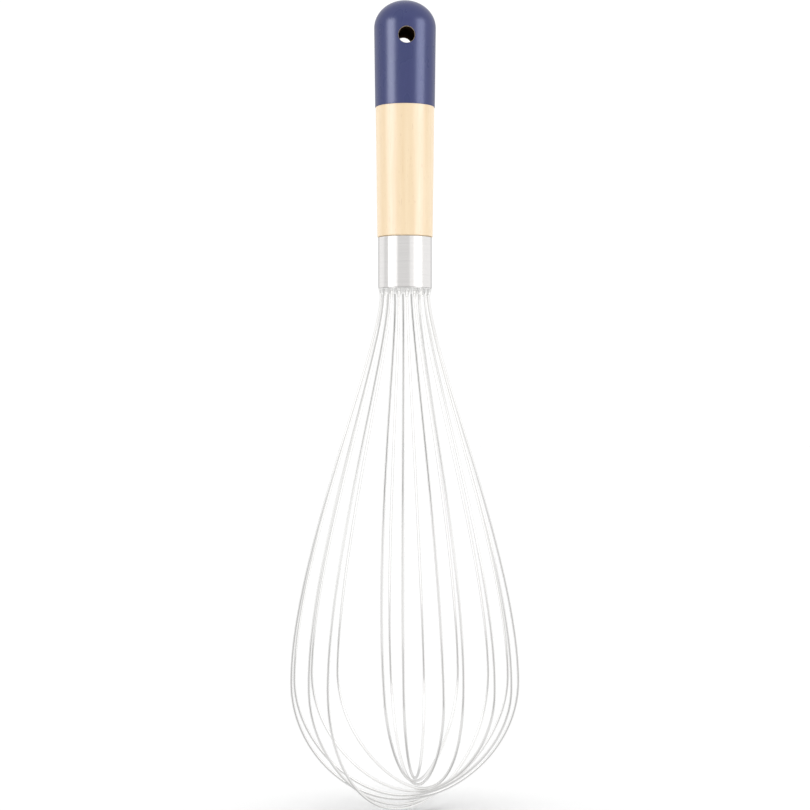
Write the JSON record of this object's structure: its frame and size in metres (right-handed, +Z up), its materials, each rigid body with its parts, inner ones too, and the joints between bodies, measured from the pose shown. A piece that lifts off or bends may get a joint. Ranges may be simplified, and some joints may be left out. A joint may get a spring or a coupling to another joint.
{
  "type": "whisk",
  "caption": "Balloon whisk: turned wooden handle with a dipped rounded end and hanging hole, steel ferrule, and crossing wire loops that beat air into a mix.",
  "frame": {"origin": "centre of the hanging hole, on the handle's axis", "axes": "+Z up along the handle towards its rounded end, Y along the hanging hole, with -Y the side that the picture shows"},
  "size_m": [0.0856, 0.0857, 0.2989],
  "materials": {
    "bare_wood": "pale close-grained wood, sanded and lightly oiled",
    "blue_coat": "satin blue-violet dipped coat",
    "ferrule_steel": "satin stainless steel",
    "plug_steel": "satin stainless steel",
    "spring_wire": "bright drawn stainless wire"
  },
  "bodies": {
    "root": {"handle": "bare_wood", "dip_coat": "blue_coat", "ferrule": "ferrule_steel", "wire_plug": "plug_steel", "wire_loop_1": "spring_wire", "wire_loop_2": "spring_wire", "wire_loop_3": "spring_wire", "wire_loop_4": "spring_wire", "wire_loop_5": "spring_wire", "wire_loop_6": "spring_wire", "wire_loop_7": "spring_wire", "wire_loop_8": "spring_wire", "wire_loop_9": "spring_wire"}
  },
  "joints": []
}
